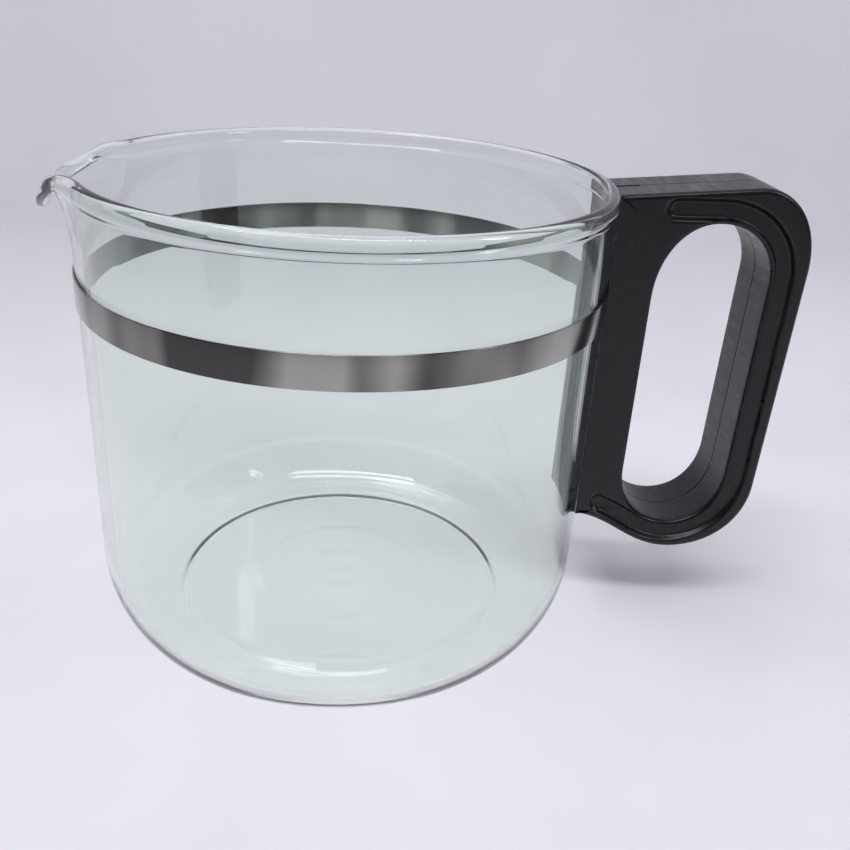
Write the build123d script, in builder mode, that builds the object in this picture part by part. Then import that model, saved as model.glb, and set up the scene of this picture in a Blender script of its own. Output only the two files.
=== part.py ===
from build123d import *
import os

os.makedirs("parts", exist_ok=True)

# A glass coffee jug with a drawn pouring lip, a steel strap clamped round its
# upper body, and a black moulded handle that the strap's two ears hold.
# Frame: the jug's axis is Z, it stands on z = 0, the handle points along +X
# and the pouring lip along -X. All sizes are in millimetres.

# ---- glass jug -------------------------------------------------------------
glass_radius = 71.5  # outside of the straight wall
jug_height = 131.4  # top of the rim bead
wall = 2.2
base_corner_width = 14.5  # the rounded base corner is a quarter ellipse
base_corner_height = 24.0
base_thickness = 3.0
push_up = 1.6  # how far the middle of the base is raised off the table
push_up_radius = 47.0
push_up_slope = 3.0
bead_thickness = 3.6  # the fire-polished bead on the rim, across the wall
bead_height = 4.2
bead_proud = 0.55  # how far it stands outside the wall
bead_taper = 9.0  # the wall thickens over this height below the bead

# ---- pouring lip -----------------------------------------------------------
# The lip is turned about an upright axis of its own, nearer the wall.
lip_axis_reach = 42.0
lip_root = 17.0  # it grows out of the wall this far below the rim
lip_reach = 10.5  # its free edge stands this far outside the wall
lip_drop = 11.8  # and this far below the rim
lip_crest_reach = 6.1  # where the curve over the crest is pulled to
lip_crest_lift = 4.6
lip_thickness = 2.4
lip_crest = 0.65  # the share of the curve at which the crest lies
lip_bury = 0.75  # the underside starts this far inside the wall's outer face
lip_under_rise = 7.5  # where the underside's two inner pulls lie
lip_under_drop = 4.6
lip_edge_low = 0.4  # the free edge is rounded between these two drops
lip_edge_tip = 1.4

# ---- steel strap -----------------------------------------------------------
strap_width = 8.4
strap_thickness = 0.5
strap_bottom = 97.9
strap_gap = 0.12  # clearance round the glass
ear_reach = 8.0  # the two ends turn outwards by this much
ear_gap = 0.2  # between the two ears

# ---- handle ----------------------------------------------------------------
handle_thickness = 23.6
seat_gap = 0.15  # between the strap and the handle's hollow seat
post_width = 12.8
deck_drop = 1.9  # top of the handle below the rim, where it meets the glass
deck_rise = 3.4  # the deck climbs by this much to its outer corner
grip_reach = 56.0  # outside of the grip, from the glass
grip_lean = 1.6  # the grip's outside comes in by this much from top to bottom
grip_width = 10.5
outer_top_run = 17.0  # the outer corner, along the deck and down the grip
outer_top_fall = 22.0
outer_low_run = 23.7
outer_low_rise = 22.7
hand_gap_top = 8.5  # top of the finger opening, below the rim
hand_gap_height = 93.0
hand_corner_left = 21.5  # height of the opening's rounded ends
hand_corner_right = 16.5
hand_corner_low = 17.5
loop_drop = 110.7  # lowest point of the bottom arm, below the rim
heel_drop = 98.9  # underside of the post at the glass, below the rim
edge_round = 1.3
slot_gap = 0.15  # between the strap's ears and the slot that takes them
corner_fullness = 0.58  # how far the pulls of a rounded corner reach
heel_swing = 0.4  # share of the bottom arm's run over which its curve levels out

# ---- clamp screw and its brass insert --------------------------------------
screw_thread = 4.0
screw_head = 7.6
screw_head_height = 2.6
head_recess = 3.4
screw_length = 15.5
screw_gap = 0.15
insert_outside = 5.8
insert_length = 7.0
insert_gap = 0.05
thread_gap = 0.05
hex_socket = 2.5
hex_socket_depth = 1.5

inner_radius = glass_radius - wall
bead_outside = glass_radius + bead_proud
bead_inside = bead_outside - bead_thickness
bead_middle = jug_height - bead_thickness / 2
base_corner = glass_radius - base_corner_width
foot_radius = push_up_radius + push_up_slope


def up_to(points, share):
    """Control points of the first share of a cubic Bezier curve."""
    kept = []
    while points:
        kept.append(points[0])
        pairs = zip(points, points[1:])
        points = [(p[0] + (q[0] - p[0]) * share, p[1] + (q[1] - p[1]) * share) for p, q in pairs]
    return kept


# Points of the lip's section are out from its own axis, and up. Its top curve
# leans out of the wall, passes over the crest and falls to the free edge.
wall_out = glass_radius - lip_axis_reach
root_height = jug_height - lip_root
edge_out = wall_out + lip_reach
edge_height = jug_height - lip_drop
top_curve = [
    (wall_out - wall, root_height),
    (wall_out - wall, root_height + lip_root / 2),
    (wall_out + lip_crest_reach, jug_height + lip_crest_lift),
    (edge_out, edge_height),
]
under_curve = [
    (wall_out - lip_bury, root_height),
    (wall_out - lip_bury, root_height + lip_under_rise),
    (wall_out + lip_crest_reach - lip_thickness, jug_height + lip_crest_lift - lip_under_drop),
    (edge_out - lip_thickness, edge_height - lip_edge_low),
]
edge_tip = (edge_out - lip_thickness / 2, edge_height - lip_edge_tip)
lip_plane = Plane(origin=(-lip_axis_reach, 0, 0), x_dir=(0, 1, 0), z_dir=(1, 0, 0))
lip_axis = Axis((-lip_axis_reach, 0, 0), (0, 0, 1))

# The lip comes first, with what would reach inside the jug cut away. The body
# and its rim are turned from one profile, and the pouring channel is cut last.
with BuildPart() as glass_jug:
    with BuildSketch(lip_plane):
        with BuildLine():
            Bezier(*top_curve)
            ThreePointArc(top_curve[-1], edge_tip, under_curve[-1])
            Bezier(*under_curve)
            Line(under_curve[0], top_curve[0])
        make_face()
    revolve(axis=lip_axis, revolution_arc=180)
    with BuildSketch(Plane.XY.offset(root_height - wall)):
        Circle(inner_radius)
    extrude(amount=lip_root + 2 * wall, mode=Mode.SUBTRACT)
    with BuildSketch(Plane.XZ):
        with BuildLine():
            Polyline((0, base_thickness + push_up), (0, push_up), (push_up_radius, push_up),
                     (foot_radius, 0), (base_corner, 0))
            EllipticalCenterArc(
                (base_corner, base_corner_height),
                base_corner_width,
                base_corner_height,
                start_angle=270,
                arc_size=90,
            )
            Polyline((glass_radius, base_corner_height), (glass_radius, jug_height - bead_height),
                     (bead_outside, jug_height - bead_height + bead_proud), (bead_outside, bead_middle))
            RadiusArc((bead_outside, bead_middle), (bead_inside, bead_middle), -bead_thickness / 2)
            Polyline((bead_inside, bead_middle), (bead_inside, jug_height - bead_height),
                     (inner_radius, jug_height - bead_height - bead_taper),
                     (inner_radius, base_corner_height))
            EllipticalCenterArc(
                (base_corner, base_corner_height),
                base_corner_width - wall,
                base_corner_height - base_thickness,
                start_angle=270,
                arc_size=90,
            )
            Polyline((base_corner, base_thickness), (foot_radius, base_thickness),
                     (push_up_radius, base_thickness + push_up), (0, base_thickness + push_up))
        make_face()
    revolve(axis=Axis.Z)
    channel_curve = up_to(top_curve, lip_crest)
    crest = channel_curve[-1]
    with BuildSketch(lip_plane):
        with BuildLine():
            Bezier(*channel_curve)
            Polyline(crest, (crest[0] + lip_root / 2, crest[1] + lip_root / 2),
                     (0, crest[1] + lip_root / 2), (0, root_height), channel_curve[0])
        make_face()
    revolve(axis=lip_axis, revolution_arc=180, mode=Mode.SUBTRACT)
glass_jug.part.label = "glass_jug"

# The strap is one strip of steel: it runs once round the glass and its two
# ends turn outwards side by side as ears, each with a hole for the screw.
strap_inside = glass_radius + strap_gap
strap_outside = strap_inside + strap_thickness
ear_end = strap_inside + ear_reach
ear_middle = strap_bottom + strap_width / 2
screw_x = strap_outside + (ear_end - strap_outside) / 2
screw_hole = screw_thread + 2 * screw_gap
with BuildPart() as steel_strap:
    with BuildSketch(Plane.XY.offset(strap_bottom)):
        Circle(strap_outside)
        ear_side = ear_gap / 2 + strap_thickness
        with BuildLine():
            Polyline(
                (strap_inside, -ear_side),
                (ear_end, -ear_side),
                (ear_end, ear_side),
                (strap_inside, ear_side),
                close=True,
            )
        make_face()
        Circle(strap_inside, mode=Mode.SUBTRACT)
        with BuildLine():
            Polyline(
                (strap_inside - strap_thickness, -ear_gap / 2),
                (ear_end + strap_thickness, -ear_gap / 2),
                (ear_end + strap_thickness, ear_gap / 2),
                (strap_inside - strap_thickness, ear_gap / 2),
                close=True,
            )
        make_face(mode=Mode.SUBTRACT)
    extrude(amount=strap_width)
    with BuildSketch(Plane.XZ.offset(-handle_thickness / 2)):
        with Locations((screw_x, ear_middle)):
            Circle(screw_hole / 2)
    extrude(amount=handle_thickness, mode=Mode.SUBTRACT)
steel_strap.part.label = "steel_strap"

# The handle is one moulding: a post along the glass, a deck, a grip and a
# bottom arm round the finger opening. Its hollow seat fits round the strap, and
# a slot in the middle of the seat, open at both ends, takes the strap's ears.
seat_radius = strap_outside + seat_gap
handle_side = handle_thickness / 2
inner_edge = glass_radius - handle_side / 4
post_outside = glass_radius + post_width
grip_outside = glass_radius + grip_reach
grip_inside = grip_outside - grip_width
deck_inner = jug_height - deck_drop
deck_outer = deck_inner + deck_rise
loop_floor = jug_height - loop_drop
heel = jug_height - heel_drop
gap_top = jug_height - hand_gap_top
gap_floor = gap_top - hand_gap_height
slot_width = ear_gap + 2 * strap_thickness + 2 * slot_gap
slot_end = ear_end + slot_gap


def quarter(side, top):
    """Rounded corner: leaves the point side straight up or down, and reaches the
    point top level."""
    rise = (top[1] - side[1]) * corner_fullness
    run = (side[0] - top[0]) * corner_fullness
    Bezier(side, (side[0], side[1] + rise), (top[0] + run, top[1]), top)


def loop_outline():
    """Deck, outer corner, leaning grip, round bottom and the S back to the heel."""
    deck_end = (grip_outside - outer_top_run, deck_outer)
    side_top = (grip_outside, deck_outer - outer_top_fall)
    side_low = (grip_outside - grip_lean, loop_floor + outer_low_rise)
    bottom = (grip_outside - grip_lean - outer_low_run, loop_floor)
    swing = (bottom[0] - inner_edge) * heel_swing
    Line((inner_edge, deck_inner), deck_end)
    quarter(side_top, deck_end)
    Line(side_top, side_low)
    quarter(side_low, bottom)
    Bezier(bottom, (bottom[0] - swing, loop_floor), (inner_edge + swing, heel), (inner_edge, heel))
    Line((inner_edge, heel), (inner_edge, deck_inner))


def finger_outline():
    """The finger opening: straight along the post and the grip, round between."""
    middle = (post_outside + grip_inside) / 2
    left_top = (post_outside, gap_top - hand_corner_left)
    left_low = (post_outside, gap_floor + hand_corner_low)
    right_top = (grip_inside, gap_top - hand_corner_right)
    right_low = (grip_inside - grip_lean / 2, gap_floor + hand_corner_low)
    Line(left_low, left_top)
    quarter(left_top, (middle, gap_top))
    quarter(right_top, (middle, gap_top))
    Line(right_top, right_low)
    quarter(right_low, (middle, gap_floor))
    quarter(left_low, (middle, gap_floor))


def across(y):
    """Plane that faces along -Y at the given y; its x is X and its y is Z."""
    return Plane.XZ.offset(-y)


head_floor = handle_side - head_recess
screw_tip = head_floor - screw_length
insert_start = -slot_width / 2
insert_end = insert_start - insert_length
with BuildPart() as handle:
    with BuildSketch(Plane.XZ):
        with BuildLine():
            loop_outline()
        make_face()
        with BuildLine():
            finger_outline()
        make_face(mode=Mode.SUBTRACT)
    extrude(amount=handle_side, both=True)
    sides = handle.faces().filter_by(Axis.Y).edges()
    fillet(sides.filter_by(lambda edge: edge.center().X > inner_edge + edge_round), edge_round)
    with BuildSketch(Plane.XY):
        Circle(seat_radius)
    extrude(amount=jug_height + deck_rise, mode=Mode.SUBTRACT)
    with BuildSketch(Plane.XY):
        with Locations((slot_end / 2, 0)):
            Rectangle(slot_end, slot_width)
    extrude(amount=jug_height + deck_rise, mode=Mode.SUBTRACT)
    with BuildSketch(across(handle_side)):
        with Locations((screw_x, ear_middle)):
            Circle(screw_head / 2 + 2 * screw_gap)
    extrude(amount=head_recess, mode=Mode.SUBTRACT)
    with BuildSketch(across(handle_side)):
        with Locations((screw_x, ear_middle)):
            Circle(screw_hole / 2)
    extrude(amount=handle_side, mode=Mode.SUBTRACT)
    with BuildSketch(across(0)):
        with Locations((screw_x, ear_middle)):
            Circle(insert_outside / 2 + insert_gap)
    extrude(amount=-insert_end + insert_gap, mode=Mode.SUBTRACT)
handle.part.label = "handle"

# The screw goes in from the far side of the handle, through both ears.
with BuildPart() as clamp_screw:
    with BuildSketch(across(head_floor + screw_head_height)):
        with Locations((screw_x, ear_middle)):
            Circle(screw_head / 2)
    extrude(amount=screw_head_height)
    crown = clamp_screw.faces().sort_by(Axis.Y)[-1].edges()
    fillet(crown, screw_head_height / 3)
    with BuildSketch(across(head_floor)):
        with Locations((screw_x, ear_middle)):
            Circle(screw_thread / 2)
    extrude(amount=screw_length)
    with BuildSketch(across(head_floor + screw_head_height)):
        with Locations((screw_x, ear_middle)):
            RegularPolygon(hex_socket / 2, 6, major_radius=False)
    extrude(amount=hex_socket_depth, mode=Mode.SUBTRACT)
clamp_screw.part.label = "clamp_screw"

# The screw's thread runs in a brass insert on the near side of the slot.
with BuildPart() as threaded_insert:
    with BuildSketch(across(insert_start)):
        with Locations((screw_x, ear_middle)):
            Circle(insert_outside / 2)
            Circle(screw_thread / 2 + thread_gap, mode=Mode.SUBTRACT)
    extrude(amount=insert_length)
threaded_insert.part.label = "threaded_insert"

for piece in (glass_jug, steel_strap, handle, clamp_screw, threaded_insert):
    export_step(piece.part, "parts/" + piece.part.label + ".step")
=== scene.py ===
# %% [markdown]
# # A glass coffee jug with a steel strap and a black handle
#
# The jug of a drip coffee maker: a blown glass body with a beaded rim and a
# drawn pouring lip, a steel strap clamped round it, and one black plastic
# moulding for a handle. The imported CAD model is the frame, so every piece below
# is placed by the CAD's own boxes. Blender works in metres, but such an object is
# easier to think of in millimetres, so shapes are worked out in mm and multiplied
# by mm = 0.001 on their way into a mesh.

# %% Load the frame and keep the CAD box
import math

import bpy
import numpy as np
from mathutils import Matrix, Vector


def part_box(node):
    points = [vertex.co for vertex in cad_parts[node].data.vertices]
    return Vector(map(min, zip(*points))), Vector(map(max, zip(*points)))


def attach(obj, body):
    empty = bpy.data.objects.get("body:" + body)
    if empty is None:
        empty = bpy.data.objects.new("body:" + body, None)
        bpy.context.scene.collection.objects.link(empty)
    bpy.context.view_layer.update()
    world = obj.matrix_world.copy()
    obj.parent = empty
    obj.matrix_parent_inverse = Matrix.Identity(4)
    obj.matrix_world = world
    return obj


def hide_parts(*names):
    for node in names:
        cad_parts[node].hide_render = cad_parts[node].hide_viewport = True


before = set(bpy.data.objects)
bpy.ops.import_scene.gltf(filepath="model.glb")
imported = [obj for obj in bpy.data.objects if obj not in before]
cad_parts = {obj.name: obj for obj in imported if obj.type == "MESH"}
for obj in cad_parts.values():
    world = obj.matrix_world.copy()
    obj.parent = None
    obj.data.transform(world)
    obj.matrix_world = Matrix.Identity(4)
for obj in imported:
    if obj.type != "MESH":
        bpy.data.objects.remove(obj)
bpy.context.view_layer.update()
mm = 0.001
glass_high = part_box("glass_jug")[1]
strap_low, strap_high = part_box("steel_strap")
handle_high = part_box("handle")[1]
height = glass_high.z / mm


# %% [markdown]
# ## Two helpers for making surfaces
#
# Blown glass, rolled strip and a moulding are all smooth surfaces over a grid
# of two parameters. numpy works the whole grid out at once, and one function
# joins neighbouring points with quads. Building them this way, rather than by
# subdividing a rough cage, keeps every radius exact, which glass needs: a ray
# that bends twice shows each dent.

# %% Join a grid of points into a closed mesh
def grid_quads(rows, columns, around, along):
    """Quad (i, j), (i+1, j), (i+1, j+1), (i, j+1) for each cell, with the last
    row or column joined to the first where that direction closes."""
    i, j = np.meshgrid(np.arange(rows - (not around)), np.arange(columns - (not along)), indexing="ij")
    following_i, following_j = (i + 1) % rows, (j + 1) % columns
    corners = [(i, j), (following_i, j), (following_i, following_j), (i, following_j)]
    return np.stack([a * columns + b for a, b in corners], axis=-1).reshape(-1, 4)


def make_piece(name, points, around=True, along=False, poles=()):
    """Mesh of a (rows, columns, 3) grid. poles are the points in which the first
    and the last column end, as fans of triangles. The faces are turned to point
    outwards: six times the volume is the sum of the corner products."""
    rows, columns = points.shape[:2]
    verts = points.reshape(-1, 3)
    faces = grid_quads(rows, columns, around, along).tolist()
    for pole, column, turn in zip(poles, (0, columns - 1), (1, -1)):
        centre = len(verts)
        verts = np.vstack([verts, pole])
        ring = np.arange(rows) * columns + column
        faces += [[centre, a, b][::turn] for a, b in zip(np.roll(ring, -1), ring)]
    mesh = bpy.data.meshes.new(name)
    mesh.from_pydata(verts.tolist(), [], faces)
    mesh.update()
    mesh.calc_loop_triangles()
    tris = np.empty(len(mesh.loop_triangles) * 3, np.int32)
    mesh.loop_triangles.foreach_get("vertices", tris)
    a, b, c = (verts[tris.reshape(-1, 3)[:, k]] for k in range(3))
    volume = np.einsum("ij,ij->i", a, np.cross(b, c)).sum() / 6
    if volume < 0:
        mesh.flip_normals()
    mesh.shade_smooth()
    piece = bpy.data.objects.new(name, mesh)
    bpy.context.scene.collection.objects.link(piece)
    print(f"{name}: {len(tris) // 3} triangles, {abs(volume) / mm ** 3:.0f} mm3")
    return piece


def smooth(x):
    """0 below 0, 1 above 1, and 3x^2 - 2x^3 between."""
    x = np.clip(x, 0, 1)
    return x * x * (3 - 2 * x)


def bezier(points, t):
    """Cubic curve: each point weighs as its share of (1 - t + t)^3. points may
    carry extra leading axes; t is the last axis of the result but one."""
    points = np.asarray(points, float)
    weights = np.stack([(1 - t) ** 3, 3 * t * (1 - t) ** 2, 3 * t * t * (1 - t), t ** 3], axis=-1)
    return weights @ points


# %% [markdown]
# ## The glass body
#
# The jug is blown into a mould and its rim is cracked off, fire-polished into a
# bead and, while soft, pulled down into a lip. So it is nearly a turned shape,
# with one place where the section changes. Its wall is drawn as a centre line
# with a thickness either side, and round the lip the centre line is blended
# towards one that leans out, passes over a crest and curls down.

# %% Sizes of the glass, in mm
bead_proud = 0.55  # how far the CAD's bead stands outside the wall
outside_radius = glass_high.y / mm - bead_proud
wall = 2.2
wall_radius = outside_radius - wall / 2  # middle of the wall
base_thickness = 3.0
foot_radius = 57.0  # where the flat foot turns up into the rounded corner
corner_height = 24.0  # where the corner has become the straight wall
step_height = 1.6  # the middle of the base is pushed up, so the jug stands on a ring
ring_height = 0.3
bead_swell = 0.7  # what the rim's bead adds to each side of the wall
lip_thinning = 0.35  # what drawing the lip takes off each side of its free edge
print("glass radius", round(outside_radius, 2), "mm, height", round(height, 1), "mm")


# %% Profile of the base and its corner
def fade(x, start, width):
    """1 up to start, 0 from start + width on, and smooth between."""
    return 1 - smooth((x - start) / width)


def base_outside(r):
    """Underside: a foot ring on the table, a rounded step up inside it, and a
    shallow pressed ring and a fading cosine swirl round the middle."""
    swirl = 0.16 * np.cos(r * 0.62) * fade(r, 8, 10)
    return step_height * fade(r, 46.8, 4.6) + ring_height * fade(r, 23.8, 4.4) + swirl


def base_inside(r):
    """Inside of the base: the same steps, softened, one base thickness higher."""
    swirl = 0.14 * np.cos(r * 0.55 + 0.6) * fade(r, 9, 10)
    return base_thickness + step_height * fade(r, 45.2, 7.0) + ring_height * fade(r, 22.4, 7.0) + swirl


def corner_arc(reach, climb, count):
    """Quarter ellipse, reach wide and climb high: it leaves the foot level and
    joins the wall upright."""
    turn = np.linspace(0, math.pi / 2, count)
    return np.stack([foot_radius + reach * np.sin(turn), corner_height - climb * np.cos(turn)], axis=-1)


# %% Section of the upper wall, the rim's bead and the lip
spring = height - 20.0  # above this height the wall is drawn as a centre line
angles = np.concatenate([np.linspace(-32, 32, 97)[:-1], np.linspace(32, 328, 145)[:-1]])
# Away from the lip's middle, its lean, its crest and its drop fade over their own widths.
off_middle = np.abs(angles)
lean, rise, drop = fade(off_middle, 2, 24), fade(off_middle, 5, 20), fade(off_middle, 0, 20)
none = np.zeros_like(lean)
share_r = np.stack([none, lean, lean, lean], axis=-1)
share_z = np.stack([none, lean, rise, drop], axis=-1)
share = np.stack([share_r, share_z], axis=-1)
plain_line = np.array(
    [
        (wall_radius, spring),
        (wall_radius, spring + 6),
        (wall_radius, spring + 12.5),
        (wall_radius - 0.15, height - wall / 2 - bead_swell),
    ]
)
lip_line = np.array(
    [
        (wall_radius, spring),
        (wall_radius, height - 9),
        (wall_radius + 6.5, height + 3.2),
        (wall_radius + 9.6, height - 12.2),
    ]
)
line = plain_line + share * (lip_line - plain_line)
t = np.linspace(0, 1, 46)
centre = bezier(line, t)
run = np.gradient(centre, axis=1)
run /= np.linalg.norm(run, axis=-1, keepdims=True)
normal = np.stack([run[..., 1], -run[..., 0]], axis=-1)

# %% Thickness along the section
# The bead fades out at the lip, where the drawn glass thins towards its free edge.
swell = bead_swell * (1 - drop[:, None])
bead = smooth((t - 0.78) / 0.12)
half = wall / 2 - lip_thinning * drop[:, None] * smooth((t - 0.3) / 0.6)
outer_half = half + swell * bead
inner_half = half + swell * (0.25 * np.clip((t - 0.3) / 0.5, 0, 1) + 0.75 * bead)
outer = centre + normal * outer_half[..., None]
inner = centre - normal * inner_half[..., None]
turn = np.linspace(0, math.pi, 14)[1:-1]
tip_half = outer_half[:, -1:, None]
around_tip = np.cos(turn)[:, None] * normal[:, -1:] + np.sin(turn)[:, None] * run[:, -1:]
cap = centre[:, -1:] + tip_half * around_tip
print("lip reaches", round(float(outer[..., 0].max()), 1), "mm from the axis")
print("rim's top at", round(float(cap[..., 1].max()), 2), "mm")

# %% Carry the section round the axis
# Rings of points lie closest where the base has its two steps.
stretches = ((0.6, 24, 26), (24, 30, 14), (30, 44, 10), (44, foot_radius, 34))
floor_r = np.concatenate([np.linspace(*stretch)[:-1] for stretch in stretches])
under = np.stack([floor_r, base_outside(floor_r)], axis=-1)
above = np.stack([floor_r, base_inside(floor_r)], axis=-1)
wall_z = np.linspace(corner_height, spring, 12)[1:-1]
outer_wall = np.stack([np.full_like(wall_z, outside_radius), wall_z], axis=-1)
inner_wall = outer_wall - [wall, 0]
corner_reach = outside_radius - foot_radius
lower_out = np.vstack([under, corner_arc(corner_reach, corner_height, 22), outer_wall])
inner_corner = corner_arc(corner_reach - wall, corner_height - base_thickness, 22)
lower_in = np.vstack([above, inner_corner, inner_wall])
count = len(angles)


def repeat(section):
    """The same section at every angle."""
    return np.broadcast_to(section, (count, *section.shape))


section = np.concatenate([repeat(lower_out), outer, cap, inner[:, ::-1], repeat(lower_in[::-1])], axis=1)
direction = np.radians(180 + angles)
body_points = np.stack(
    [
        section[..., 0] * np.cos(direction)[:, None],
        section[..., 0] * np.sin(direction)[:, None],
        section[..., 1],
    ],
    axis=-1,
) * mm
poles = [(0, 0, base_outside(0.0) * mm), (0, 0, base_inside(0.0) * mm)]
glass = make_piece("jug_glass", body_points, poles=poles)

# %% [markdown]
# ## The steel strap
#
# A strip of stainless steel, half a millimetre thick, bent round the glass and
# turned out into two ears inside the handle. A strip's thin section is carried
# along its path, so the rounded edges catch a line of light as real ones do,
# and the brushing can follow the length of the strip.

# %% Path of the strip, in mm, seen from above
thickness, gap = 0.5, 0.2  # gap: between the two ears
middle_radius = strap_high.y / mm - thickness / 2
print("strip's middle radius", round(middle_radius, 2), "mm")
ear_y = (gap + thickness) / 2
ear_x = strap_high.x / mm
bend = 0.9  # middle radius of the bend from the circle into an ear
start_angle = math.asin((ear_y + bend) / (middle_radius + bend))
bend_x = (middle_radius + bend) * math.cos(start_angle)
arc = np.linspace(start_angle, 2 * math.pi - start_angle, 361)
circle = middle_radius * np.stack([np.cos(arc), np.sin(arc)], axis=-1)
# The bend's centre lies outside the circle: it turns from the ear to the strip.
bend_turn = np.linspace(-math.pi / 2, -math.pi + start_angle, 9)[:-1]
bend_way = np.stack([np.cos(bend_turn), np.sin(bend_turn)], axis=-1)
bend_arc = np.array([bend_x, ear_y + bend]) + bend * bend_way
ear_line = np.stack([np.linspace(ear_x, bend_x, 6)[:-1], np.full(5, ear_y)], axis=-1)
first_half = np.vstack([ear_line, bend_arc])
path = np.vstack([first_half, circle, first_half[::-1] * [1, -1]])
step = np.gradient(path, axis=0)
step /= np.linalg.norm(step, axis=1, keepdims=True)
side = np.stack([step[:, 1], -step[:, 0]], axis=-1)

# %% Carry the strip's section along it
low, high = strap_low.z / mm, strap_high.z / mm
edge = 0.16  # the strip's rounded edges
edge_turn = np.linspace(0, math.pi / 2, 5)
corner = np.stack([np.cos(edge_turn), np.sin(edge_turn)], axis=-1) * edge
half_t, half_h = thickness / 2 - edge, (high - low) / 2 - edge
section_corners = []
for quarter_turn, (sx, sz) in enumerate([(1, 1), (-1, 1), (-1, -1), (1, -1)]):
    c, s = round(math.cos(quarter_turn * math.pi / 2)), round(math.sin(quarter_turn * math.pi / 2))
    section_corners.append(corner @ np.array([[c, s], [-s, c]]) + [sx * half_t, sz * half_h])
strip_section = np.vstack(section_corners)
strap_points = np.empty((len(path), len(strip_section), 3))
strap_points[..., :2] = path[:, None] + side[:, None] * strip_section[None, :, :1]
strap_points[..., 2] = (low + high) / 2 + strip_section[:, 1]
ends = [strap_points[0].mean(0), strap_points[-1].mean(0)]
strap = make_piece("steel_strap_strip", strap_points.transpose(1, 0, 2) * mm, poles=[e * mm for e in ends])

# %% A map along the strip, for the brushing
travelled = np.concatenate([[0], np.cumsum(np.linalg.norm(np.diff(path, axis=0), axis=1))])
along_strip = np.tile(travelled, len(strip_section))
across_strip = np.repeat(strip_section[:, 1], len(path))
at_ends = [(0, 0), (travelled[-1], 0)]  # the two poles come last in the mesh
place = np.vstack([np.stack([along_strip, across_strip], axis=-1), at_ends]) * mm
loops = np.empty(len(strap.data.loops), np.int32)
strap.data.loops.foreach_get("vertex_index", loops)
layer = strap.data.uv_layers.new(name="strip")
layer.data.foreach_set("uv", place[loops].astype(np.float32).ravel())
print("strip length", round(float(travelled[-1]), 1), "mm")

# %% [markdown]
# ## The handle
#
# One black moulding: a post along the glass, a deck, a grip and a bottom arm
# round the finger opening, with a shallow channel in each face. Its surface is
# carried round the opening: at each step a closed section runs from the inner
# outline across one face to the outer outline and back over the other face.

# %% Outlines of the handle, in mm: x from the jug's axis, and height
def quarter(start, end, count, fullness=0.58, upright_first=True):
    """Rounded corner from start to end. It leaves start upright and reaches end
    level, or the other way round, with pulls of the stated share."""
    (x0, z0), (x1, z1) = start, end
    if upright_first:
        pulls = [(x0, z0 + (z1 - z0) * fullness), (x1 - (x1 - x0) * fullness, z1)]
    else:
        pulls = [(x0 + (x1 - x0) * fullness, z0), (x1, z1 - (z1 - z0) * fullness)]
    return bezier([start, pulls[0], pulls[1], end], np.linspace(0, 1, count))


def even(line, count):
    """count points at equal distances along a polyline."""
    reach = np.concatenate([[0], np.cumsum(np.linalg.norm(np.diff(line, axis=0), axis=1))])
    wanted = np.linspace(0, reach[-1], count)
    return np.stack([np.interp(wanted, reach, line[:, k]) for k in (0, 1)], axis=-1)


half_width = handle_high.y / mm
seat = strap_high.y / mm + 0.15  # radius of the hollow that holds the strap
glass_side = math.sqrt(seat ** 2 - half_width ** 2)
deck_in, deck_out = height - 1.9, height + 1.5
outside, grip_in, post_out = 127.5, 117.0, 84.3
loop_floor, heel = height - 110.7, height - 98.9
gap_top, gap_floor = height - 8.5, height - 101.5
middle_x = (post_out + grip_in) / 2

ring = 60
top_left = quarter((post_out, gap_top - 21.5), (middle_x, gap_top), ring)
top_right = quarter((middle_x, gap_top), (grip_in, gap_top - 16.5), ring, upright_first=False)
low_right = quarter((grip_in - 0.8, gap_floor + 17.5), (middle_x, gap_floor), ring)
low_left = quarter((middle_x, gap_floor), (post_out, gap_floor + 17.5), ring, upright_first=False)
# Each stretch of the opening faces one stretch of the outside, in the same order:
# post, deck, top corner, grip, low corner, bottom arm.
inner_pieces = [
    np.vstack([low_left[ring // 2 :], top_left[: ring // 2]]),
    np.vstack([top_left[ring // 2 - 1 :], top_right[: ring // 3]]),
    top_right[ring // 3 - 1 :],
    np.array([top_right[-1], low_right[0]]),
    low_right,
    low_left[: ring // 2 + 1],
]
step_counts = (70, 40, 34, 40, 34, 44)
deck_end = (outside - 17.0, deck_out)
side_top, side_low = (outside, deck_out - 22.0), (outside - 1.6, loop_floor + 22.7)
bottom = (outside - 1.6 - 23.7, loop_floor)
heel_x = 68.55  # where the bottom arm's curve would end, inside the glass
swing = (bottom[0] - heel_x) * 0.4
pulls = [(bottom[0] - swing, loop_floor), (heel_x + swing, heel)]
outer_bottom = bezier([bottom, *pulls, (heel_x, heel)], np.linspace(0, 1, 80))
outer_bottom = outer_bottom[outer_bottom[:, 0] > glass_side]
outer_bottom = np.vstack([outer_bottom, [(glass_side, outer_bottom[-1, 1])]])
outer_pieces = [
    np.array([(glass_side, outer_bottom[-1, 1]), (glass_side, deck_in)]),
    np.array([(glass_side, deck_in), deck_end]),
    quarter(deck_end, side_top, ring, upright_first=False),
    np.array([side_top, side_low]),
    quarter(side_low, bottom, ring),
    outer_bottom,
]
inner_outline = np.vstack([even(piece, n + 1)[:-1] for piece, n in zip(inner_pieces, step_counts)])
outer_outline = np.vstack([even(piece, n + 1)[:-1] for piece, n in zip(outer_pieces, step_counts)])
print("loop steps", len(inner_outline), "widest", round(float(outer_outline[:, 0].max()), 1))


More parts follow.
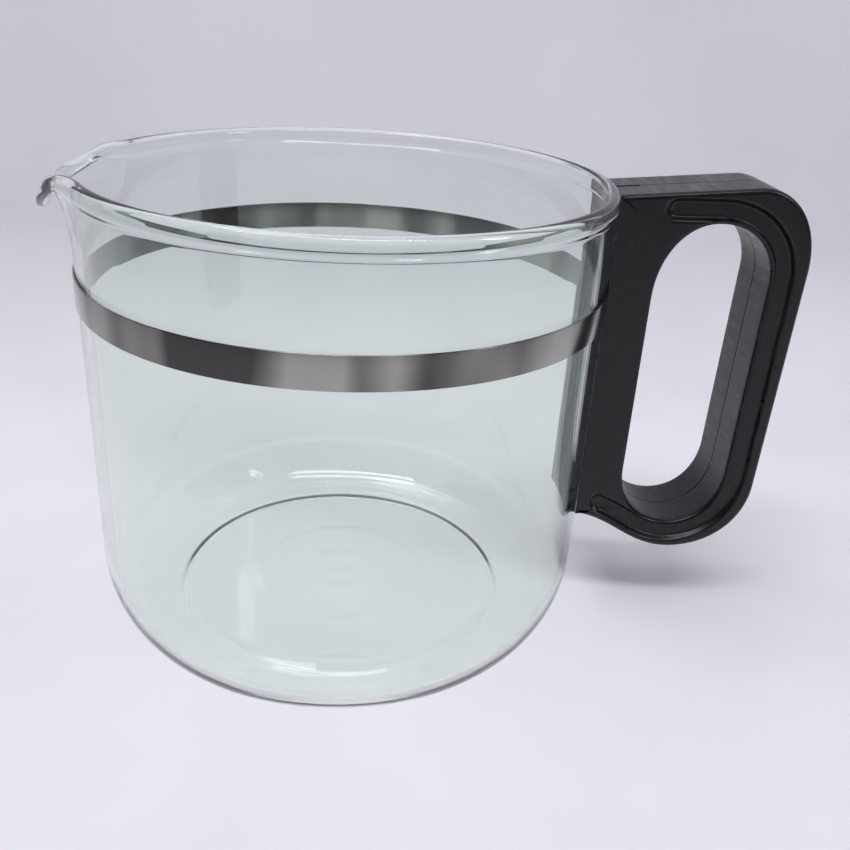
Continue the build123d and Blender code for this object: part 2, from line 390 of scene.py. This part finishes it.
# %% Section of the handle at each step
def away(outline, sign):
    """Unit normals of a closed outline, from the neighbours' direction."""
    step = np.roll(outline, -1, axis=0) - np.roll(outline, 1, axis=0)
    step /= np.linalg.norm(step, axis=1, keepdims=True)
    return sign * np.stack([-step[:, 1], step[:, 0]], axis=-1)


steps = len(inner_outline)
inward, outward = away(inner_outline, 1), away(outer_outline, 1)
# Both outlines run clockwise, so the first pair of normals points into the
# plastic and the second out of it.
on_glass = outer_outline[:, 0] < glass_side + 0.01
round_in = np.full(steps, 1.3)
round_out = np.where(on_glass, 0.35, 1.3)
face_in = inner_outline + inward * round_in[:, None]
face_out = outer_outline - outward * round_out[:, None]
face_share = np.linspace(0, 1, 41)
face_line = face_in[:, None] + (face_out - face_in)[:, None] * face_share[:, None]

# The channel keeps near the opening: its middle line lies 3.8 mm outside it.
# It starts straight under the deck and ends on the way to the heel.
beside = inner_outline + inward * 3.8
beside = beside[beside[:, 0] > middle_x]
to_heel = [(92, beside[-1, 1]), (86, height - 98.5), (78.1, height - 95.5)]
last = bezier([beside[-1], *to_heel], np.linspace(0, 1, 30))
dense = even(np.vstack([[(87.6, height - 4.9)], beside, last]), 900)
reach = np.stack([np.linalg.norm(row[:, None] - dense[None], axis=-1).min(axis=-1) for row in face_line])
channel_depth, channel_half, channel_slope = 1.7, 3.4, 1.6
channel = channel_depth * smooth((channel_half - reach) / channel_slope)

turn = np.linspace(0, math.pi / 2, 7)[1:-1]
side_y = np.concatenate([np.linspace(-1, -0.07, 8), [-0.03, 0, 0.03], np.linspace(0.07, 1, 8)])
# Where the mould's halves meet, a hairline groove 0.14 mm deep runs round the loop.
mould_line = np.where(np.abs(side_y) < 0.01, 0.14, 0.0)


def side_columns(outline, normals, radius, sign):
    """Side of the section from one face to the other. sign is -1 on the opening's
    side, where the mould line is cut along the normal."""
    y = side_y[None] * (half_width - radius[:, None])
    shift = -sign * mould_line[None, :, None] * normals[:, None]
    return np.concatenate([outline[:, None] + shift, y[..., None]], axis=-1)


def corner_columns(outline, normals, radius, sign, y_sign, leaving):
    """Quarter circle between the side and a face, in the plane of the normal."""
    angle = turn if leaving else turn[::-1]
    back = radius[:, None] * (1 - np.cos(angle))[None]
    place = outline[:, None] + sign * normals[:, None] * back[..., None] * -1
    y = y_sign * (half_width - radius[:, None] * (1 - np.sin(angle))[None])
    return np.concatenate([place, y[..., None]], axis=-1)


def face_columns(y_sign, reverse):
    """One face of the section: the half width less the channel's depth."""
    y = y_sign * (half_width - channel)
    columns = np.concatenate([face_line, y[..., None]], axis=-1)
    return columns[:, ::-1] if reverse else columns


loop = np.concatenate(
    [
        side_columns(inner_outline, inward, round_in, -1),
        corner_columns(inner_outline, inward, round_in, -1, 1, True),
        face_columns(1, False),
        corner_columns(outer_outline, outward, round_out, 1, 1, False),
        side_columns(outer_outline, outward, round_out, 1)[:, ::-1],
        corner_columns(outer_outline, outward, round_out, 1, -1, True),
        face_columns(-1, True),
        corner_columns(inner_outline, inward, round_in, -1, -1, False),
    ],
    axis=1,
)
# The side against the glass is hollow: no point comes nearer the axis than the seat.
x, z, y = loop[..., 0], loop[..., 1], loop[..., 2]
x = np.maximum(x, np.sqrt(seat ** 2 - np.minimum(y ** 2, seat ** 2)))
handle = make_piece("handle_moulding", np.stack([x, y, z], axis=-1) * mm, along=True)


# %% [markdown]
# The strap's ears stand in a slot in the post, and a screw from the back clamps
# them. These openings have flat or round sides that cross the loop's grid, so they
# are cut with solid tools: a Boolean modifier whose result replaces the mesh. The
# edges it leaves are marked sharp, so that the smooth shading stops at them.

# %% Cut the slot, the screw's recess and its hole
def cutter(name, radius, y_from, y_to, place, count=48):
    """Cylinder along Y for cutting, closed by fans at both ends, in mm."""
    turn = np.linspace(0, 2 * math.pi, count, endpoint=False)
    ring = radius * np.stack([np.cos(turn), 0 * turn, np.sin(turn)], axis=-1) + [place[0], 0, place[1]]
    ends = np.stack([ring + [0, y_from, 0], ring + [0, y_to, 0]], axis=1)
    poles = [(place[0], y_from, place[1]), (place[0], y_to, place[1])]
    return make_piece(name, ends * mm, poles=[np.array(p) * mm for p in poles])


def slab(name, low_corner, high_corner):
    """Box between two corners, in mm."""
    (x0, y0, z0), (x1, y1, z1) = low_corner, high_corner
    ring = np.array([(x0, y0), (x1, y0), (x1, y1), (x0, y1)])
    points = np.array([[(a, b, z) for z in (z0, z1)] for a, b in ring])
    middle = ((x0 + x1) / 2, (y0 + y1) / 2)
    return make_piece(name, points * mm, poles=[np.array((*middle, z)) * mm for z in (z0, z1)])


def cut(piece, tool):
    """Takes the tool's shape out of the piece, for good, and removes the tool."""
    knife = piece.modifiers.new("cut", "BOOLEAN")
    knife.operation, knife.solver, knife.object = "DIFFERENCE", "EXACT", tool
    depsgraph = bpy.context.evaluated_depsgraph_get()
    result = bpy.data.meshes.new_from_object(piece.evaluated_get(depsgraph))
    piece.modifiers.clear()
    old, piece.data = piece.data, result
    name = old.name
    bpy.data.meshes.remove(old)
    result.name = name
    bpy.data.objects.remove(tool)


screw_low, screw_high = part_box("clamp_screw")
screw = ((screw_low.x + screw_high.x) / 2 / mm, (screw_low.z + screw_high.z) / 2 / mm)
slot_end, slot_half = ear_x + 0.15, 0.75
hole_radius, beyond = 2.15, 20  # beyond: a tool's end well outside the handle
cut(handle, slab("slot", (60, -slot_half, 0), (slot_end, slot_half, 140)))
cut(handle, cutter("recess", 4.1, half_width - 3.4, beyond, screw))
cut(handle, cutter("screw_hole", hole_radius, -1, beyond, screw))
cut(handle, cutter("insert_pocket", 2.95, -7.8, -0.5, screw))
cut(strap, cutter("ear_holes", hole_radius, -2, 2, screw))
for piece in (handle, strap):
    piece.data.shade_smooth()
    piece.data.set_sharp_from_angle(angle=math.radians(38))
print("handle faces", len(handle.data.polygons))

# %% [markdown]
# ## Materials
#
# Each material is one Principled shader fed by noise on Object coordinates or on
# the strip's own map, so a pattern has a size in millimetres and stays with its
# piece. Colours are written as hex codes, as one would read them from a chart, and
# one function turns them into the linear values that the renderer works in.

# %% Colours and nodes
def srgb(code):
    """Linear colour of an sRGB hex code: c / 12.92 for dark values, and
    ((c + 0.055) / 1.055) to the power 2.4 for the rest."""
    values = [int(code[k : k + 2], 16) / 255 for k in (1, 3, 5)]
    return tuple(v / 12.92 if v <= 0.04045 else ((v + 0.055) / 1.055) ** 2.4 for v in values) + (1.0,)


def add(tree, kind, links=None, sockets=None, **settings):
    """Adds a node, sets its properties and its sockets, and links what feeds it."""
    node = tree.nodes.new("ShaderNode" + kind)
    for key, value in settings.items():
        setattr(node, key, value)
    for key, value in (sockets or {}).items():
        node.inputs[key].default_value = value
    for key, source in (links or {}).items():
        tree.links.new(source, node.inputs[key])
    return node


def new_material(name):
    """An empty node material and its output."""
    material = bpy.data.materials.new(name)
    material.use_nodes = True
    material.node_tree.nodes.clear()
    return material, material.node_tree, add(material.node_tree, "OutputMaterial")


def surface(tree, output, **nodes):
    """Links each given socket to the output's input of the same name."""
    for key, source in nodes.items():
        tree.links.new(source, output.inputs[key.capitalize()])


def put(piece, material):
    """Makes material the piece's only one."""
    piece.data.materials.clear()
    piece.data.materials.append(material)
    print(f"{piece.name}: {material.name}")


# %% [markdown]
# The body is borosilicate glass, blown in a mould and fire-polished. Clear glass is
# seen only by what it bends and mirrors, so its look comes from the exact wall and
# its IOR. Three faint things keep it from looking like a drawing: slow waves left
# by blowing, a haze of fine wear, and a trace of green that gathers where light
# runs a long way inside, such as in the rim.

# %% Borosilicate glass
glass_mat, tree, output = new_material("borosilicate_glass_blown")
place = add(tree, "TexCoord").outputs["Object"]
stretched = add(tree, "Mapping", {"Vector": place}, {"Scale": (1.0, 1.0, 0.35)})
wave_size = {"Scale": 1 / (26 * mm), "Detail": 2.0, "Roughness": 0.4}
waves = add(tree, "TexNoise", {"Vector": stretched.outputs[0]}, wave_size)
bump = add(tree, "Bump", {"Height": waves.outputs["Fac"]}, {"Strength": 0.25, "Distance": 0.25 * mm})
haze = add(tree, "TexNoise", {"Vector": place}, {"Scale": 1 / (9 * mm), "Detail": 5.0, "Roughness": 0.6})
wear = {"From Min": 0.45, "From Max": 0.8, "To Min": 0.0, "To Max": 0.05}
rough = add(tree, "MapRange", {"Value": haze.outputs["Fac"]}, wear)
shader = add(
    tree,
    "BsdfPrincipled",
    {"Roughness": rough.outputs[0], "Normal": bump.outputs[0]},
    {"Base Color": srgb("#f6fbf8"), "Transmission Weight": 1.0, "IOR": 1.473},
)
tint = add(tree, "VolumeAbsorption", None, {"Color": srgb("#b4cfc4"), "Density": 14.0})
surface(tree, output, surface=shader.outputs[0], volume=tint.outputs[0])
put(glass, glass_mat)
# The renderer follows no bent light back to a lamp, so clear glass would throw a
# black shadow. Real glass this thin hardly dims the table, so it casts none here.
glass.visible_shadow = False
glass.visible_diffuse = False

# %% [markdown]
# The strap is stainless steel strip, rolled and polished along its length. Polish
# makes it mirror the room, and the fine lines along it blur that mirror upright
# only. The lines are 0.35 mm wide on the strip's own map, coarser than real
# polishing marks, because finer ones would not show. Broad darker and lighter
# patches are painted reflection: what such a strip mirrors on a real table.

# %% Stainless steel strip
strip_mat, tree, output = new_material("stainless_steel_rolled_strip")
strip_map = add(tree, "UVMap", uv_map="strip").outputs[0]
lengthwise = add(tree, "Mapping", {"Vector": strip_map}, {"Scale": (0.012, 1.0, 1.0)})
line_size = {"Scale": 1 / (0.35 * mm), "Detail": 4.0}
scratches = add(tree, "TexNoise", {"Vector": lengthwise.outputs[0]}, line_size)
# Painted reflection: broad upright patches of darker and lighter colour along the strip.
upright = add(tree, "Mapping", {"Vector": strip_map}, {"Scale": (1.0, 0.12, 1.0)})
painted_reflection = add(tree, "TexNoise", {"Vector": upright.outputs[0]}, {"Scale": 1 / (30 * mm), "Detail": 2.0})
colour = add(tree, "ValToRGB", {"Fac": painted_reflection.outputs["Fac"]})
colour.color_ramp.elements[0].position, colour.color_ramp.elements[1].position = 0.44, 0.57
colour.color_ramp.elements[0].color, colour.color_ramp.elements[1].color = srgb("#4b4a49"), srgb("#a6a59f")
rough = add(tree, "MapRange", {"Value": scratches.outputs["Fac"]}, {"To Min": 0.08, "To Max": 0.22})
bump = add(tree, "Bump", {"Height": scratches.outputs["Fac"]}, {"Strength": 0.15, "Distance": 0.02 * mm})
shader = add(
    tree,
    "BsdfPrincipled",
    {"Base Color": colour.outputs[0], "Roughness": rough.outputs[0], "Normal": bump.outputs[0]},
    {"Metallic": 1.0},
)
surface(tree, output, surface=shader.outputs[0])
put(strap, strip_mat)

# %% [markdown]
# The handle is black polypropylene, injection moulded. Such plastic takes a satin
# skin from its mould: near black straight on, grey with sheen at a low angle. Two
# patterns break the sheen: streaks where the melt flowed, and a fine skin grain.

# %% Black polypropylene
handle_mat, tree, output = new_material("polypropylene_black_moulded")
place = add(tree, "TexCoord").outputs["Object"]
flow = add(tree, "Mapping", {"Vector": place}, {"Scale": (1.0, 0.18, 1.0)})
streak_size = {"Scale": 1 / (2.2 * mm), "Detail": 4.0, "Roughness": 0.6}
streaks = add(tree, "TexNoise", {"Vector": flow.outputs[0]}, streak_size)
grain = add(tree, "TexNoise", {"Vector": place}, {"Scale": 1 / (0.35 * mm), "Detail": 2.0})
height_mix = add(tree, "Math", {0: streaks.outputs["Fac"], 1: grain.outputs["Fac"]}, operation="ADD")
bump = add(tree, "Bump", {"Height": height_mix.outputs[0]}, {"Strength": 0.3, "Distance": 0.05 * mm})
satin = {"From Min": 0.3, "From Max": 0.7, "To Min": 0.24, "To Max": 0.40}
rough = add(tree, "MapRange", {"Value": streaks.outputs["Fac"]}, satin)
shader = add(
    tree,
    "BsdfPrincipled",
    {"Roughness": rough.outputs[0], "Normal": bump.outputs[0]},
    {"Base Color": srgb("#050509"), "IOR": 1.49, "Specular IOR Level": 0.42},
)
surface(tree, output, surface=shader.outputs[0])
put(handle, handle_mat)


# %% [markdown]
# The screw is zinc-plated steel, a bluish grey with a soft shine, and its insert is
# turned brass. Both keep the CAD's mesh, because their plain shapes need no more,
# and differ only in colour and grain, so one function makes both metals.

# %% Zinc-plated steel and turned brass
def metal(name, dark, light, roughness, grain_mm):
    """Metal whose colour and roughness wander a little over the stated grain."""
    material, tree, output = new_material(name)
    place = add(tree, "TexCoord").outputs["Object"]
    noise = add(tree, "TexNoise", {"Vector": place}, {"Scale": 1 / (grain_mm * mm), "Detail": 4.0})
    colour = add(tree, "ValToRGB", {"Fac": noise.outputs["Fac"]})
    colour.color_ramp.elements[0].color, colour.color_ramp.elements[1].color = srgb(dark), srgb(light)
    spread = {"To Min": roughness - 0.08, "To Max": roughness + 0.08}
    rough = add(tree, "MapRange", {"Value": noise.outputs["Fac"]}, spread)
    links = {"Base Color": colour.outputs[0], "Roughness": rough.outputs[0]}
    shader = add(tree, "BsdfPrincipled", links, {"Metallic": 1.0})
    surface(tree, output, surface=shader.outputs[0])
    return material


put(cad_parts["clamp_screw"], metal("steel_zinc_plated", "#9fa2a6", "#c6c9cc", 0.32, 1.5))
put(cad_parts["threaded_insert"], metal("brass_turned", "#b8934e", "#d6b36c", 0.3, 0.8))

# %% [markdown]
# ## Ride and replace
#
# Nothing on a jug moves, so every piece rides the root body. Each new piece takes
# the place of the CAD piece that it shows, and its finish's name is printed.

# %% Tie the new pieces to the frame
finishes = (
    (glass, "glass_jug", "glass"),
    (strap, "steel_strap", "strap_steel"),
    (handle, "handle", "black_plastic"),
)
for piece, node, finish in finishes:
    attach(piece, "root")
    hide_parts(node)
    print(f"{piece.name} shows {node}, finish {finish}")

# %% [markdown]
# ## Table, wall, light and camera
#
# Glass shows its surroundings, so they matter as much as the glass. A pale sheet
# of paper lies on the table and curves up behind the jug, which leaves no hard
# line for the glass to bend. A long lamp overhead draws the soft streaks in the
# base, and a small one at the right draws the short ones.

# %% Floor and backdrop
def paper(name, dark, light, grain_mm):
    """Matt paper: fibres and a slow change of shade. Its back is see-through, so
    that a camera behind the wall still sees the jug."""
    material, tree, output = new_material(name)
    place = add(tree, "TexCoord").outputs["Object"]
    noise = add(tree, "TexNoise", {"Vector": place}, {"Scale": 1 / (grain_mm * mm), "Detail": 3.0})
    colour = add(tree, "ValToRGB", {"Fac": noise.outputs["Fac"]})
    colour.color_ramp.elements[0].position, colour.color_ramp.elements[1].position = 0.3, 0.7
    colour.color_ramp.elements[0].color, colour.color_ramp.elements[1].color = srgb(dark), srgb(light)
    shader = add(tree, "BsdfPrincipled", {"Base Color": colour.outputs[0]}, {"Roughness": 0.85})
    back = add(tree, "NewGeometry").outputs["Backfacing"]
    clear = add(tree, "BsdfTransparent")
    mixed = add(tree, "MixShader", {"Fac": back, 1: shader.outputs[0], 2: clear.outputs[0]})
    surface(tree, output, surface=mixed.outputs[0])
    return material


# One sheet lies on the table and curves up behind the jug. It lies a hair under the
# jug's foot, so that the two never share a plane.
bend_radius, wall_y, table_z = 60, 225, -0.1
sweep = np.linspace(0, math.pi / 2, 25)
fold = np.stack([np.sin(sweep), 1 - np.cos(sweep)], axis=-1) * bend_radius + [wall_y - bend_radius, table_z]
profile = np.vstack([[(-2000, table_z)], fold, [(wall_y, 1500)]])
sheet_points = np.array([[(x, y, z) for y, z in profile] for x in (-2000, 2000)], float)
sheet = make_piece("table_and_wall", sheet_points * mm, around=False)
# An open sheet has no inside, so its front is turned towards the jug.
sheet.data.flip_normals()
put(sheet, paper("paper_white_matt", "#e0dfe5", "#eae9ee", 140))

# %% World and lamps
world = bpy.data.worlds.new("room")
bpy.context.scene.world = world
world.use_nodes = True
world.node_tree.nodes.clear()
tree = world.node_tree
up = add(tree, "SeparateXYZ", {0: add(tree, "TexCoord").outputs["Generated"]})
upward = add(tree, "MapRange", {"Value": up.outputs["Z"]}, {"From Min": -0.3, "From Max": 1.0})
shade = add(tree, "ValToRGB", {"Fac": upward.outputs[0]})
shade.color_ramp.elements[0].color, shade.color_ramp.elements[1].color = srgb("#6d6863"), srgb("#e9eaee")
# The room is darker on the viewer's side, which keeps the handle's face dark.
front_to_back = {"From Min": -0.9, "From Max": 0.3, "To Min": 0.35, "To Max": 1.0}
side_shade = add(tree, "MapRange", {"Value": up.outputs["Y"]}, front_to_back)
dimmed = add(tree, "VectorMath", {0: shade.outputs[0], "Scale": side_shade.outputs[0]}, operation="SCALE")
sky = add(tree, "Background", {"Color": dimmed.outputs[0]}, {"Strength": 0.70})
tree.links.new(sky.outputs[0], add(tree, "OutputWorld").inputs["Surface"])


def lamp(name, place, target, width, depth, watts, colour):
    """Rectangular lamp at a place, facing a target, in mm."""
    light = bpy.data.lights.new(name, "AREA")
    light.shape, light.size, light.size_y = "RECTANGLE", width * mm, depth * mm
    light.energy, light.color = watts, srgb(colour)[:3]
    item = bpy.data.objects.new(name, light)
    bpy.context.scene.collection.objects.link(item)
    item.location = Vector(place) * mm
    item.rotation_euler = (Vector(target) - Vector(place)).to_track_quat("-Z", "Y").to_euler()
    print(f"{name}: {width} x {depth} mm, {watts} W")


lamp("ceiling_strip", (-60, -330, 950), (0, 0, 0), 900, 160, 4.6, "#fbfbff")
lamp("window", (620, -330, 520), (0, 0, 60), 130, 260, 1.1, "#f4f6ff")
lamp("back_wash", (-250, 150, 900), (0, 120, 0), 500, 300, 2.2, "#fffaf4")

# %% Camera: where it stands, its turns in radians, and the three axes they give
place = Vector((0, -256.04, 179.11)) * mm
yaw, pitch, roll = 0.0953, 0.4467, 0.0612
ahead = Vector((math.sin(yaw) * math.cos(pitch), math.cos(yaw) * math.cos(pitch), -math.sin(pitch)))
level = Vector((math.cos(yaw), -math.sin(yaw), 0))
over = level.cross(ahead)
right = math.cos(roll) * level + math.sin(roll) * over
top = -math.sin(roll) * level + math.cos(roll) * over
camera_data = bpy.data.cameras.new("camera")
camera_data.sensor_width, camera_data.lens = 36.0, 39.79
camera_data.clip_start = 0.01
camera = bpy.data.objects.new("camera", camera_data)
bpy.context.scene.collection.objects.link(camera)
camera.matrix_world = Matrix.Translation(place) @ Matrix((right, top, -ahead)).transposed().to_4x4()
bpy.context.scene.camera = camera
bpy.context.scene.view_settings.view_transform = "Standard"
print("camera stands", round(place.length / mm), "mm from the foot of the jug")
